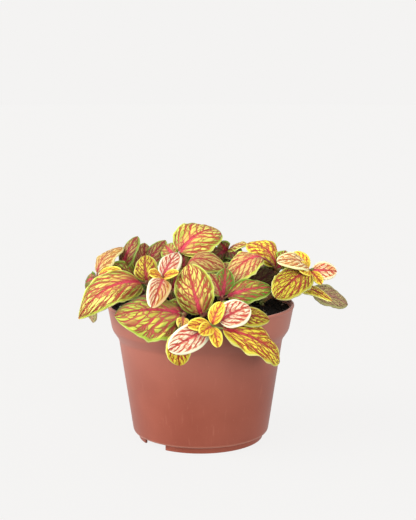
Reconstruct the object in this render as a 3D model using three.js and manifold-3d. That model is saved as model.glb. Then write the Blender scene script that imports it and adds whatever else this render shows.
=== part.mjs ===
// A nerve plant (Fittonia) in a 12 cm nursery pot. Millimetres, +Z up, the front faces -Y.
// The origin is on the pot's axis, in the plane that the pot stands on.

import * as THREE from "three";
import Module from "manifold-3d";
import { mergeVertices } from "three/addons/utils/BufferGeometryUtils.js";

const wasm = await Module();
wasm.setup();

// Driving dimensions of the pot.
const POT_HEIGHT = 88;
const RIM_RADIUS = 60.2;
const RIM_BEAD = 2.1;
const WALL = 1.2;
const COLLAR_HEIGHT = 16;
const COLLAR_RADIUS = 57.1;
const SHOULDER_HEIGHT = 65.7;
const SHOULDER_RADIUS = 52.9;
const BODY_BOTTOM_HEIGHT = 6;
const BODY_BOTTOM_RADIUS = 44.2;
const FOOT_RADIUS = 40.5;
const FOOT_WIDTH = 1.6;
const FOOT_HEIGHT = 4.2;
const FOOT_NOTCH = { width: 19.5, height: 3.9, depth: 12, angles: [223.2, 43.2] };
const PAD_RADIUS = 12;
const PAD_SLOPE = 3;
const DRAIN = { count: 8, radius: 3.5, circle: 27, sides: 10 };
const EDGE_ROUND = 0.5;
const POT_SIDES = 44;
const POT_COLOR = 0xb0624e;

// Heights and radii that follow from the pot's driving dimensions.
const FLOOR = FOOT_HEIGHT + WALL;
const COLLAR_FOOT = POT_HEIGHT - COLLAR_HEIGHT;
const BEAD_FOOT = POT_HEIGHT - RIM_BEAD;
const MOUTH_RADIUS = RIM_RADIUS - RIM_BEAD;

// Driving dimensions of the soil and of what stands in it.
const GAP = 0.3;
const SOIL_EDGE = 84;
const SOIL_CROWN = 1.2;
const SOIL_WAVES = [
  { x: 0.21, y: 0.15, phase: 1.3, height: 0.3 },
  { x: 0.19, y: -0.17, phase: 0.4, height: 0.25 },
  { x: -0.29, y: 0.34, phase: 0, height: 0.3 },
];
const SOIL_RINGS = [48, 33, 17];
const SOIL_COLOR = 0x241c16;
const STEM_RADIUS = 1.25;
const STEM_SIDES = 6;
const STEM_FOOT = 74;
const STEM_STRAIGHT = 86;
const STEM_RISE = 87;
const HOLE_PLAY = 0.55;
const HOLE_SIDES = 8;

// Driving dimensions of a leaf.
const BLADE_THICKNESS = 0.8;
const PETIOLE_WIDTH = 1.3;
const PETIOLE_THICKNESS = 1.3;
const WAVES_PER_BLADE = 1.6;
const WAVE_PHASE = { leaf: 1.7, shoot: 0.9, side: 1.9 };
const TWIST_PIVOT = 0.3;
const LEAF_AGES = {
  tip: { arch: 0.1, fold: 0.4, curl: 0.25, wave: 0.04, twist: 0, petiole: 0.1, base: 0.46, point: 0.48 },
  young: { arch: 0.1, fold: 0.22, curl: 0.3, wave: 0.06, twist: 6, petiole: 0.08, base: 0.46, point: 0.5 },
  mid: { arch: 0.11, fold: 0.22, curl: 0.32, wave: 0.09, twist: 8, petiole: 0.1, base: 0.46, point: 0.55 },
  old: { arch: 0.12, fold: 0.2, curl: 0.34, wave: 0.1, twist: 8, petiole: 0.12, base: 0.46, point: 0.55 },
};

// Rows along a blade and columns across it: the largest leaves have the finest facets.
const LEAF_FACETS = [
  { width: 20, rows: 6, columns: 4 },
  { width: 11, rows: 5, columns: 2 },
  { width: 0, rows: 3, columns: 2 },
];

const LEAF_COLORS = { young: 0xe9a98c, mid: 0xc9b63f, old: 0x8b9a3a };

// One leaf: the point of its stem that it grows from, where its tip is, the way its upper face
// looks, the width of its blade, its age, and what differs from the form usual at that age.
function leaf(node, tip, face, width, age, form = {}) {
  const { rows, columns } = LEAF_FACETS.find((size) => width >= size.width);
  return { rows, columns, ...LEAF_AGES[age], ...form, node, tip, face, width, age };
}

// One leafy stem: its points from the soil to its growing tip, and its leaves.
function shoot(name, stem, leaves) {
  return { name: "shoot_" + name, stem, leaves };
}

// The broad old leaf that hangs over the front of the pot.
const BROAD_BASE = { fold: 0.1, curl: 0.5, petiole: 0.05, base: 0.3, point: 0.6 };

const FRONT_SHOOTS = [
  shoot("young_left", [[-16, -14, 87], [-19, -24, 97], [-23, -34, 109]], [
    leaf(2, [-14, -25, 124], [-0.5, -1, 0.6], 15, "young"),
    leaf(2, [-28.3, -67, 98], [0.25, -1, 0.8], 14, "young", { arch: 0.16 }),
    leaf(2, [-31, -42, 113.5], [-0.1, -0.9, 1], 10, "tip"),
    leaf(2, [-13, -41, 114], [0.2, -0.9, 1], 7.5, "tip"),
  ]),
  shoot("left_arm", [[-24, -6, 87], [-29, -12, 93], [-33, -18, 103]], [
    leaf(2, [-75, -32, 84], [-0.1, -0.95, 0.9], 25.5, "mid", { arch: 0.33, base: 0.38, point: 0.7 }),
    leaf(2, [-34.5, -13, 120.5], [-0.35, -1, 0.3], 16.5, "mid"),
  ]),
  shoot("left_out", [[-38, 6, 87], [-54, 2, 98], [-67, 0, 104]], [
    leaf(2, [-51, 12, 122], [-1, -0.8, 0.6], 19, "mid", { arch: 0.2, fold: 0.1 }),
    leaf(2, [-50, -9, 110], [0.1, -0.9, 0.8], 8, "tip"),
    leaf(2, [-75, 8, 98], [-0.7, -0.5, 0.6], 14, "old"),
    leaf(2, [-69, -4, 75.5], [-0.9, -0.6, 0.4], 12, "old", { petiole: 0.4 }),
  ]),
  shoot("left_back", [[-33, 16, 87], [-40, 12, 100], [-51, 7, 106]], [
    leaf(2, [-41, 13, 129], [-0.7, -1, 0.1], 13, "old"),
    leaf(1, [-23, 16, 126], [-0.25, -1, 0.7], 14, "old"),
    leaf(1, [-28, 0, 112], [-0.1, -1, 0.6], 15, "old"),
    leaf(1, [-37, 18, 124], [0.3, -1, 0.2], 15, "old", { petiole: 0.15 }),
    leaf(1, [-58, 2, 112], [-0.1, -1, 0.5], 14, "old"),
  ]),
  shoot("front_left", [[-6, -20, 87], [-8, -34, 88.5], [-10, -45, 89], [-10, -55, 91.5]], [
    leaf(3, [-50.3, -61, 91.8], [-0.1, -0.9, 1.05], 36, "old", BROAD_BASE),
    leaf(3, [-10.5, -67, 85], [0.2, -0.8, 0.9], 8, "tip", { petiole: 0.35 }),
    leaf(3, [-12, -70, 64.2], [-0.1, -0.4, 1], 15, "mid", { arch: 0.3, petiole: 0.45, point: 0.4 }),
    leaf(1, [-22, -36, 92], [0.1, -0.8, 0.8], 14, "old"),
  ]),
  shoot("front_young", [[8, -30, 87], [8, -50, 92], [7.5, -61, 91.5], [7, -68, 87]], [
    leaf(3, [29, -61, 97.5], [-0.35, -1, 0.55], 18.5, "young", { petiole: 0.2 }),
    leaf(3, [-18, -77, 75], [0.2, -1, 0.45], 16.5, "young"),
    leaf(3, [13, -66, 101], [-0.3, -0.9, 0.5], 9.5, "tip"),
    leaf(3, [-7, -76, 89], [0.1, -1, 0.8], 9, "tip"),
    leaf(3, [0, -79, 85], [0.2, -1, 0.6], 9, "tip"),
    leaf(3, [10.5, -79, 77], [0.2, -1, 0.3], 8, "tip"),
    leaf(3, [48, -46, 60], [0.35, -1, 0.7], 20, "mid", { arch: 0.2, wave: 0.16 }),
    leaf(2, [41, -59, 89], [0.1, -0.8, 0.75], 15, "old", { petiole: 0.2 }),
    leaf(1, [30, -45, 92], [0.1, -0.8, 1], 15, "old"),
  ]),
  shoot("centre_front", [[3, -24, 87], [3, -38, 88], [1, -45, 88]], [
    leaf(2, [-7.5, -34, 118], [-0.2, -1, 0.3], 24.5, "mid", { petiole: 0.05 }),
    leaf(1, [-6, -27, 94], [-0.2, -0.3, 1], 12, "old"),
  ]),
  shoot("centre_right", [[14, -14, 87], [14, -24, 90], [13.3, -31, 96]], [
    leaf(2, [15.5, -23, 114], [0.15, -1, 0.2], 13, "old"),
    leaf(2, [44, -28, 102.5], [-0.1, -0.8, 0.8], 18.5, "old"),
    leaf(2, [6, -27, 111], [0.6, -1, 0.3], 13, "old"),
  ]),
  shoot("centre_top", [[-6, 8, 87], [-10, 2, 104], [-16, 0, 117]], [
    leaf(2, [10.8, 20, 132.5], [-0.3, -1, 0.9], 31, "mid",
      { arch: 0.2, wave: 0.02, base: 0.4, point: 0.5 }),
    leaf(1, [15, -14, 112], [-0.1, -0.6, 1], 24, "old", { arch: 0.38 }),
    leaf(2, [-23, 12, 123], [-0.1, -1, 0.4], 13, "old"),
    leaf(1, [-11, 5, 122], [-0.1, -1, 0.3], 13, "old"),
  ]),
  shoot("right_mid", [[30, 6, 87], [38, 4, 98], [49, 1, 108]], [
    leaf(2, [30, 10, 124.5], [0.5, -0.6, 1], 24, "mid", { arch: 0.26 }),
    leaf(2, [16.5, -17, 104.5], [-0.55, -0.8, 1], 22, "old",
      { arch: 0.38, petiole: 0.36, point: 0.4 }),
    leaf(2, [55, 7, 120.5], [0.3, -0.8, 0.7], 12, "old"),
    leaf(1, [49, 3, 111], [0, -1, 0.2], 14, "old"),
  ]),
  shoot("right_young", [[40, 4, 87.6], [56, -4, 99], [69, -10, 110]], [
    leaf(2, [47.5, -22, 118], [0, -0.7, 1], 15, "young", { arch: 0.2 }),
    leaf(2, [58, 0, 119.5], [-0.2, -0.8, 0.9], 12, "tip"),
    leaf(2, [46, -38, 98], [-0.5, -1, 0.2], 22.5, "mid"),
    leaf(2, [86, -12, 110], [0, -1, 0.6], 13, "young"),
    leaf(2, [76, -18, 103], [0.1, -0.9, 0.7], 7, "tip"),
    leaf(2, [61, -22, 113], [-0.1, -1, 0.5], 11, "tip"),
    leaf(1, [82, -22, 93], [0.1, -0.5, 0.9], 10, "mid"),
    leaf(1, [95, 2, 86], [0.1, -0.9, 0.7], 15, "old", { petiole: 0.35 }),
    leaf(1, [68, 10, 110], [-0.2, 0.6, 1], 14, "old"),
  ]),
  shoot("back_top", [[12, 24, 87], [14, 24, 102], [17, 20.5, 117.5]], [
    leaf(2, [12.5, 17, 125], [0.3, -1, 0], 10, "old"),
    leaf(2, [30, 12, 123.5], [0, -0.4, 1], 14, "mid"),
    leaf(2, [25, 2, 116], [0, -1, 0.7], 13, "old"),
    leaf(2, [7, 6, 115.5], [0, -1, 0.5], 13, "old"),
  ]),
  shoot("inner_left", [[-12, -3, 87], [-16, -6, 93], [-18, -8, 97]], [
    leaf(2, [-4, -19, 102.5], [0.1, -1, 0.6], 15.5, "old"),
    leaf(2, [-27, 2, 108], [-0.4, -0.8, 0.6], 15, "old"),
    leaf(2, [-14, -8, 111], [0, -1, 0.2], 12, "old"),
  ]),
  shoot("inner_right", [[24, -4, 87], [25, -10, 92], [27, -14, 96]], [
    leaf(2, [46, -10, 110], [-0.1, -1, 0.4], 18.5, "old"),
    leaf(2, [12, -1, 113], [-0.1, -1, 0.4], 17, "old"),
  ]),
];

// The shoots that the front ones hide grow by a rule: leaves in crossed pairs, a quarter turn
// from pair to pair, that are longer, wider and lower the further they are from the growing tip.
const LEAF_PAIRS = [
  { reach: 10, width: 7, rise: 8, age: "tip" },
  { reach: 23, width: 15, rise: 4, age: "young" },
  { reach: 33, width: 23, rise: -8, age: "old" },
];
const BACK_CROWNS = [
  { name: "back_right", angle: 24, radius: 58, height: 94, spin: 0, size: 1 },
  { name: "back_mid_right", angle: 60, radius: 56, height: 98, spin: 20, size: 1 },
  { name: "back_mid_left", angle: 100, radius: 58, height: 97, spin: 30, size: 1 },
  { name: "back_left", angle: 142, radius: 58, height: 98, spin: 157, size: 1 },
  { name: "upper_back_right", angle: 38, radius: 36.5, height: 109, spin: 140, size: 0.8 },
  { name: "upper_back_mid", angle: 88, radius: 36, height: 113, spin: 45, size: 0.85 },
  { name: "upper_back_left", angle: 124, radius: 42, height: 110, spin: 18, size: 0.85 },
];
const BACK_STEM = { rootShare: 0.7, bendShare: 0.85, bendDrop: 6 };
const BACK_SPREAD = { turn: 12, reach: 0.1 };
const BACK_LEAN = 0.3;
const BACK_FACETS = { rows: 4, columns: 2 };
const RANDOM_SEED = 20;

// A seeded draw between -1 and 1.
let randomState = RANDOM_SEED;
function randomSpread() {
  randomState = (Math.imul(randomState, 1664525) + 1013904223) >>> 0;
  return randomState / 2147483648 - 1;
}

function backShoot(crown) {
  const angle = THREE.MathUtils.degToRad(crown.angle);
  const at = (radius, height) => [radius * Math.cos(angle), radius * Math.sin(angle), height];
  const stem = [
    at(crown.radius * BACK_STEM.rootShare, STEM_RISE),
    at(crown.radius * BACK_STEM.bendShare, crown.height - BACK_STEM.bendDrop),
    at(crown.radius, crown.height),
  ];
  const leaves = [];
  LEAF_PAIRS.forEach((pair, index) => {
    for (const side of [0, 180]) {
      const degrees = crown.spin + 90 * index + side + BACK_SPREAD.turn * randomSpread();
      const turn = THREE.MathUtils.degToRad(degrees);
      const reach = pair.reach * crown.size * (1 + BACK_SPREAD.reach * randomSpread());
      const x = Math.cos(turn);
      const y = Math.sin(turn);
      const tip = [stem[2][0] + reach * x, stem[2][1] + reach * y, crown.height + pair.rise];
      const face = [x * BACK_LEAN, y * BACK_LEAN, 1];
      const facets = pair.age === "tip" ? {} : BACK_FACETS;
      leaves.push(leaf(2, tip, face, pair.width * crown.size, pair.age, facets));
    }
  });
  return shoot(crown.name, stem, leaves);
}

const SHOOTS = [...FRONT_SHOOTS, ...BACK_CROWNS.map(backShoot)];

// Solids in and out of the boolean library.
function solidOf(geometry) {
  geometry.deleteAttribute("normal");
  geometry.deleteAttribute("uv");
  const merged = mergeVertices(geometry);
  return new wasm.Manifold(new wasm.Mesh({
    numProp: 3,
    vertProperties: new Float32Array(merged.attributes.position.array),
    triVerts: new Uint32Array(merged.index.array),
  }));
}

function meshOf(name, solid, color, roughness) {
  const result = solid.getMesh();
  const geometry = new THREE.BufferGeometry();
  geometry.setAttribute("position", new THREE.BufferAttribute(result.vertProperties, 3));
  geometry.setIndex(new THREE.BufferAttribute(result.triVerts, 1));
  geometry.computeVertexNormals();
  const material = new THREE.MeshStandardMaterial({ color, roughness, metalness: 0 });
  const mesh = new THREE.Mesh(geometry, material);
  mesh.name = name;
  return mesh;
}

// A closed profile of radii and heights, turned round the Z axis.
function turned(profile, sides) {
  const points = profile.map(([radius, height]) => new THREE.Vector2(radius, height));
  const geometry = new THREE.LatheGeometry(points, sides);
  geometry.rotateX(Math.PI / 2);
  return geometry;
}

function rod(radius, low, high, x, y, sides) {
  const geometry = new THREE.CylinderGeometry(radius, radius, high - low, sides);
  geometry.rotateX(Math.PI / 2);
  geometry.translate(x, y, (low + high) / 2);
  return solidOf(geometry);
}

// The inside of the pot, from the middle of its floor to the foot of its collar.
const POT_INSIDE = [
  [0, WALL],
  [PAD_RADIUS, WALL],
  [PAD_RADIUS + PAD_SLOPE, FLOOR],
  [BODY_BOTTOM_RADIUS - 2 * WALL, FLOOR],
  [BODY_BOTTOM_RADIUS - WALL, FLOOR + WALL],
  [SHOULDER_RADIUS - WALL, SHOULDER_HEIGHT],
  [COLLAR_RADIUS - WALL, COLLAR_FOOT],
];

// The pot: one moulded wall with a beaded rim, a wide collar, a tapered body, a foot ring that
// water runs out under, and a floor that comes down to a resting pad in the middle.
function makePot() {
  const profile = [
    [0, 0],
    [PAD_RADIUS, 0],
    [PAD_RADIUS + PAD_SLOPE, FOOT_HEIGHT],
    [FOOT_RADIUS - FOOT_WIDTH, FOOT_HEIGHT],
    [FOOT_RADIUS - FOOT_WIDTH, 0],
    [FOOT_RADIUS, 0],
    [FOOT_RADIUS, FOOT_HEIGHT],
    [BODY_BOTTOM_RADIUS - 3 * EDGE_ROUND, FOOT_HEIGHT],
    [BODY_BOTTOM_RADIUS - EDGE_ROUND, FOOT_HEIGHT + EDGE_ROUND],
    [BODY_BOTTOM_RADIUS, BODY_BOTTOM_HEIGHT],
    [SHOULDER_RADIUS, SHOULDER_HEIGHT],
    [COLLAR_RADIUS, COLLAR_FOOT],
    [RIM_RADIUS - EDGE_ROUND, BEAD_FOOT],
    [RIM_RADIUS, BEAD_FOOT + EDGE_ROUND],
    [RIM_RADIUS, POT_HEIGHT - EDGE_ROUND],
    [RIM_RADIUS - EDGE_ROUND, POT_HEIGHT],
    [MOUTH_RADIUS + EDGE_ROUND, POT_HEIGHT],
    [MOUTH_RADIUS, BEAD_FOOT],
    ...POT_INSIDE.toReversed(),
  ];
  let pot = solidOf(turned(profile, POT_SIDES));
  for (const degrees of FOOT_NOTCH.angles) {
    const notch = new THREE.BoxGeometry(FOOT_NOTCH.depth, FOOT_NOTCH.width, 2 * FOOT_NOTCH.height);
    notch.translate(FOOT_RADIUS, 0, 0);
    notch.rotateZ(THREE.MathUtils.degToRad(degrees));
    pot = pot.subtract(solidOf(notch));
  }
  for (let index = 0; index < DRAIN.count; index += 1) {
    const angle = (2 * Math.PI * (index + 0.5)) / DRAIN.count;
    const x = DRAIN.circle * Math.cos(angle);
    const y = DRAIN.circle * Math.sin(angle);
    pot = pot.subtract(rod(DRAIN.radius, FOOT_HEIGHT - WALL, FLOOR + WALL, x, y, DRAIN.sides));
  }
  return pot;
}

// Low bumps on the soil's surface, which die away towards the pot's wall.
function soilRelief(x, y, fade) {
  const heights = SOIL_WAVES.map((wave) => wave.height * Math.sin(wave.x * x + wave.y * y + wave.phase));
  return heights.reduce((total, height) => total + height) * Math.min(1, 4 * fade);
}

// The soil fills the pot almost to its rim, and has a plain hole for each stem.
function makeSoil() {
  const collarSlope = (MOUTH_RADIUS - COLLAR_RADIUS + WALL) / (BEAD_FOOT - COLLAR_FOOT);
  const edgeRadius = COLLAR_RADIUS - WALL - GAP + (SOIL_EDGE - COLLAR_FOOT) * collarSlope;
  const profile = POT_INSIDE.map(([radius, height]) => [Math.max(0, radius - GAP), height + GAP]);
  profile.push([edgeRadius, SOIL_EDGE]);
  for (const radius of [...SOIL_RINGS, 0]) {
    profile.push([radius, SOIL_EDGE + SOIL_CROWN * (1 - (radius / edgeRadius) ** 2)]);
  }
  const geometry = turned(profile, POT_SIDES);
  const position = geometry.attributes.position;
  for (let index = 0; index < position.count; index += 1) {
    const x = position.getX(index);
    const y = position.getY(index);
    const fade = 1 - Math.hypot(x, y) / edgeRadius;
    if (position.getZ(index) > SOIL_EDGE) {
      position.setZ(index, position.getZ(index) + soilRelief(x, y, fade));
    }
  }
  let soil = solidOf(geometry);
  for (const { stem } of SHOOTS) {
    const [x, y] = stem[0];
    soil = soil.subtract(rod(STEM_RADIUS + HOLE_PLAY, STEM_FOOT - GAP, POT_HEIGHT, x, y, HOLE_SIDES));
  }
  return soil;
}

// A round stem that stands straight in its hole and then follows the shoot's points.
function makeStem(stem) {
  const [x, y] = stem[0];
  const halfway = (STEM_FOOT + STEM_STRAIGHT) / 2;
  const points = [[x, y, STEM_FOOT], [x, y, halfway], [x, y, STEM_STRAIGHT], ...stem];
  const path = new THREE.CatmullRomCurve3(points.map((point) => new THREE.Vector3(...point)));
  const section = new THREE.Shape();
  section.absarc(0, 0, STEM_RADIUS, 0, 2 * Math.PI);
  const geometry = new THREE.ExtrudeGeometry(section, {
    extrudePath: path,
    steps: points.length + 1,
    curveSegments: STEM_SIDES / 2,
    bevelEnabled: false,
  });
  return solidOf(geometry);
}

// Half the blade's width at a share s of its length, as a share of its widest. A base of 0.3 is
// broad and one of 0.46 is round. A point of 0.5 is round and one of 0.75 is acute.
function outline(s, { base, point }) {
  const widest = base / (base + point);
  return (s / widest) ** base * ((1 - s) / (1 - widest)) ** point;
}

// The directions and the midrib of a leaf that grows from the point base.
function leafFrame(form, base) {
  const tip = new THREE.Vector3(...form.tip);
  const chord = tip.clone().sub(base);
  const length = chord.length();
  const along = chord.clone().normalize();
  const face = new THREE.Vector3(...form.face);
  const up = face.addScaledVector(along, -face.dot(along)).normalize();
  const side = new THREE.Vector3().crossVectors(along, up);
  const top = base.clone().add(tip).multiplyScalar(0.5).addScaledVector(up, form.arch * length * 2);
  return { midrib: new THREE.QuadraticBezierCurve3(base, top, tip), side };
}

// A point of the blade at share u of the midrib and t of the half width, -1 to 1. The blade is
// folded along its midrib, curls down towards its margins, and waves along them.
function bladePoint(form, frame, u, t, lift, phase) {
  const s = Math.max(0, (u - form.petiole) / (1 - form.petiole));
  const tangent = frame.midrib.getTangent(u);
  const normal = new THREE.Vector3().crossVectors(frame.side, tangent);
  const twist = THREE.MathUtils.degToRad(form.twist) * (s - TWIST_PIVOT);
  const across = frame.side.clone().multiplyScalar(Math.cos(twist)).addScaledVector(normal, Math.sin(twist));
  const out = normal.clone().multiplyScalar(Math.cos(twist)).addScaledVector(frame.side, -Math.sin(twist));
  const half = Math.max(s < 1 ? PETIOLE_WIDTH / 2 : 0, (form.width / 2) * outline(s, form));
  const spread = Math.abs(t);
  const ripple = Math.sin(2 * Math.PI * WAVES_PER_BLADE * s + phase + (t < 0 ? WAVE_PHASE.side : 0));
  const rise = half * (form.fold * spread - form.curl * spread ** 2 + form.wave * spread ** 3 * ripple);
  return frame.midrib.getPoint(u).addScaledVector(across, half * t).addScaledVector(out, rise + lift);
}

// One leaf as a closed solid: an upper and a lower grid with the same diagonals, joined round
// the margin. The first row is the petiole's root, inside the stem, and the last is the tip.
function makeLeaf(form, base, phase) {
  const frame = leafFrame(form, base);
  const shares = [0, form.petiole];
  for (let row = 1; row <= form.rows; row += 1) {
    const s = (1 - Math.cos((Math.PI * row) / form.rows)) / 2;
    shares.push(form.petiole + (1 - form.petiole) * s);
  }
  const positions = [];
  const columns = form.columns;
  const layers = [1, -1].map((layer) => shares.map((u) => {
    const thickness = u > form.petiole ? BLADE_THICKNESS : PETIOLE_THICKNESS;
    const row = [];
    for (let column = 0; column <= columns; column += 1) {
      if (u === 1 && column > 0) {
        row.push(row[0]);
      } else {
        const t = u === 1 ? 0 : (2 * column) / columns - 1;
        row.push(positions.length / 3);
        positions.push(...bladePoint(form, frame, u, t, (layer * thickness) / 2, phase));
      }
    }
    return row;
  }));
  const indices = [];
  const triangle = (a, b, c) => {
    if (a !== b && b !== c && c !== a) {
      indices.push(a, b, c);
    }
  };
  const [upper, lower] = layers;
  for (let row = 0; row < shares.length - 1; row += 1) {
    for (let column = 0; column < columns; column += 1) {
      triangle(upper[row][column], upper[row][column + 1], upper[row + 1][column + 1]);
      triangle(upper[row][column], upper[row + 1][column + 1], upper[row + 1][column]);
      triangle(lower[row][column], lower[row + 1][column + 1], lower[row][column + 1]);
      triangle(lower[row][column], lower[row + 1][column], lower[row + 1][column + 1]);
    }
    for (const [column, flip] of [[0, false], [columns, true]]) {
      const corners = [
        upper[row][column],
        upper[row + 1][column],
        lower[row + 1][column],
        lower[row][column],
      ];
      const [a, b, c, d] = flip ? corners.reverse() : corners;
      triangle(a, b, c);
      triangle(a, c, d);
    }
  }
  for (let column = 0; column < columns; column += 1) {
    triangle(upper[0][column], lower[0][column], lower[0][column + 1]);
    triangle(upper[0][column], lower[0][column + 1], upper[0][column + 1]);
  }
  const geometry = new THREE.BufferGeometry();
  geometry.setAttribute("position", new THREE.Float32BufferAttribute(positions, 3));
  geometry.setIndex(indices);
  return solidOf(geometry);
}

function makeShoot({ stem, leaves }, shootIndex) {
  let solid = makeStem(stem);
  leaves.forEach((form, index) => {
    const base = new THREE.Vector3(...stem[form.node]);
    const phase = WAVE_PHASE.leaf * index + WAVE_PHASE.shoot * shootIndex;
    solid = solid.add(makeLeaf(form, base, phase));
  });
  return solid;
}

function leafColor({ leaves }) {
  const ages = leaves.map(({ age }) => age);
  return LEAF_COLORS[["young", "mid", "old"].find((age) => ages.includes(age))];
}

const plant = new THREE.Group();
plant.name = "potted_nerve_plant";
plant.add(meshOf("pot", makePot(), POT_COLOR, 0.45));
plant.add(meshOf("soil", makeSoil(), SOIL_COLOR, 0.95));
SHOOTS.forEach((each, index) => {
  plant.add(meshOf(each.name, makeShoot(each, index), leafColor(each), 0.55));
});

export default plant;
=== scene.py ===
"""A nerve plant in a 12 cm nursery pot: its looks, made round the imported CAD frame.

The pieces are modelled in millimetres, +Z up and the front facing -Y, and made metres as they
are finished. The file follows the plant as it is potted: the pot, the soil, then the stems.
"""

import math

import bmesh
import bpy
from mathutils import Matrix, Vector, noise


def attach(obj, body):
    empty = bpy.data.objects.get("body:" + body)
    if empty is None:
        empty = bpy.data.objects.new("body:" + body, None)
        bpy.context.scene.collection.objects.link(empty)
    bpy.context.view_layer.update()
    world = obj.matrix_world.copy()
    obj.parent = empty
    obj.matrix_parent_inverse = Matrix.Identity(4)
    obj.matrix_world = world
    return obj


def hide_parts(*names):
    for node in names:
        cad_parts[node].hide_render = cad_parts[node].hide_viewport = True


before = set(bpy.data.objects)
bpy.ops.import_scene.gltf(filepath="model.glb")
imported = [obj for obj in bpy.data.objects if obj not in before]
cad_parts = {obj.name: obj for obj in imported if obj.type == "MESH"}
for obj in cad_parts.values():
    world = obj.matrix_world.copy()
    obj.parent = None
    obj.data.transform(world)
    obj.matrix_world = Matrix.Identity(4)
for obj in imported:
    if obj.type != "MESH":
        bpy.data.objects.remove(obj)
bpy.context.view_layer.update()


# The nursery pot
# One moulded wall of terracotta-coloured plastic: a beaded rim, a wide collar, a tapered body, a
# foot ring, and a floor with drain holes and a pad that rests on the table. Its colour is painted
# lighter towards the rim, as painted light from above, and a pale band just above the foot ring
# is a painted highlight.
METRE = 1000
POT_HEIGHT = 88
RIM_RADIUS = 60.2
RIM_BEAD = 2.1
WALL = 1.2
COLLAR_HEIGHT = 16
COLLAR_RADIUS = 57.1
SHOULDER_HEIGHT = 65.7
SHOULDER_RADIUS = 52.9
BODY_BOTTOM_HEIGHT = 6
BODY_BOTTOM_RADIUS = 44.2
FOOT_RADIUS = 40.5
FOOT_WIDTH = 1.6
FOOT_HEIGHT = 4.2
FOOT_NOTCH_WIDTH = 19.5
FOOT_NOTCH_HEIGHT = 3.9
FOOT_NOTCH_DEPTH = 12
FOOT_NOTCH_ANGLES = (223.2, 43.2)
PAD_RADIUS = 12
PAD_SLOPE = 3
DRAIN_COUNT = 8
DRAIN_RADIUS = 3.5
DRAIN_CIRCLE = 27
DRAIN_SIDES = 24
EDGE_ROUND = 0.5
FLOOR = FOOT_HEIGHT + WALL
COLLAR_FOOT = POT_HEIGHT - COLLAR_HEIGHT
BEAD_FOOT = POT_HEIGHT - RIM_BEAD
MOUTH_RADIUS = RIM_RADIUS - RIM_BEAD
POT_INSIDE = [
    (0, WALL),
    (PAD_RADIUS, WALL),
    (PAD_RADIUS + PAD_SLOPE, FLOOR),
    (BODY_BOTTOM_RADIUS - 2 * WALL, FLOOR),
    (BODY_BOTTOM_RADIUS - WALL, FLOOR + WALL),
    (SHOULDER_RADIUS - WALL, SHOULDER_HEIGHT),
    (COLLAR_RADIUS - WALL, COLLAR_FOOT),
]
POT_STEPS = 160
POT_ROUNDING = 0.35
SHOULDER_ROUNDING = 1.6
ROUNDING_STEPS = 3
SHARP_TURN = 0.15
LEVEL_WITHIN = 0.001
TERRACOTTA = (155, 78, 57)
# Pale wear for the scuffs and dust, also used for the painted highlight above the foot ring.
TERRACOTTA_WORN_AND_HIGHLIGHT = (190, 120, 96)
TERRACOTTA_DEEP = (141, 67, 47)
# Painted light: the lighter colour that the pot turns to towards the rim, as if lit from above.
TERRACOTTA_LIT_TOP = (206, 133, 115)
LIT_TOP_HEIGHTS = (0.02, 0.085)
LIT_TOP_SHARE = 0.45
# Painted highlight: a pale band from the top of the foot ring to the body's lower edge, heights in metres.
HIGHLIGHT_BAND_FROM = (0.0036, 0.0046)
HIGHLIGHT_BAND_TO = (0.005, 0.0062)
HIGHLIGHT_BAND_SHARE = 0.6
CLOUDS = {"scale": 28, "range": (0.3, 0.7), "roughness": 0.06}
MOULD_RINGS = {"stretch": (60, 60, 900), "height": 0.6}
SCUFFS = {
    "stretch": (500, 500, 40), "range": (0.6, 0.78), "share": 0.3, "roughness": 0.14, "height": -0.3,
}
DUST = {"scale": 900, "range": (0.7, 0.78), "share": 0.25}
POT_ROUGHNESS = 0.46
POT_GRAIN_DEPTH = 0.06
POT_SHEEN = {"Sheen Weight": 0.25, "Sheen Roughness": 0.4}


def paint(red, green, blue):
    """A colour as the eye sees it, 0 to 255, made the linear colour that a shader takes."""
    linear = []
    for value in (red, green, blue):
        share = value / 255
        linear.append(share / 12.92 if share <= 0.04045 else ((share + 0.055) / 1.055) ** 2.4)
    return (*linear, 1)


def new_material(name):
    """A material with only its Principled shader and its output, and the shader."""
    material = bpy.data.materials.new(name)
    material.use_nodes = True
    return material, material.node_tree, material.node_tree.nodes["Principled BSDF"]


def set_inputs(tree, node, inputs):
    """Gives each named input of a node its value, or links it to another node's output."""
    for socket, value in inputs.items():
        if isinstance(value, bpy.types.NodeSocket):
            tree.links.new(value, node.inputs[socket])
        else:
            node.inputs[socket].default_value = value


def add_node(tree, kind, inputs, **settings):
    node = tree.nodes.new("ShaderNode" + kind)
    for name, value in settings.items():
        setattr(node, name, value)
    set_inputs(tree, node, inputs)
    return node.outputs


def calc(tree, operation, *values):
    return add_node(tree, "Math", dict(enumerate(values)), operation=operation)[0]


def ramp(tree, value, low, high):
    """Smoothly from 0, where the value is low, to 1, where it is high."""
    inputs = {0: value, 1: low, 2: high}
    return add_node(tree, "MapRange", inputs, interpolation_type="SMOOTHSTEP")[0]


def mix(tree, share, first, second):
    """The first colour where the share is 0 and the second where it is 1."""
    return add_node(tree, "Mix", {0: share, 6: first, 7: second}, data_type="RGBA")[2]


def tinge(tree, mask, share, colour, tone):
    """The colour, turned to the tone as far as the mask times the share says."""
    return mix(tree, calc(tree, "MULTIPLY", mask, share), colour, paint(*tone))


def cloud(tree, place, scale, detail):
    inputs = {"Vector": place, "Scale": scale, "Detail": detail}
    return add_node(tree, "TexNoise", inputs)["Fac"]


def bump(tree, shader, height, depth):
    """Relief of a height from 0 to 1, for a depth in millimetres."""
    relief = add_node(tree, "Bump", {"Height": height, "Distance": depth / METRE, "Strength": 1})
    tree.links.new(relief["Normal"], shader.inputs["Normal"])


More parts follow.
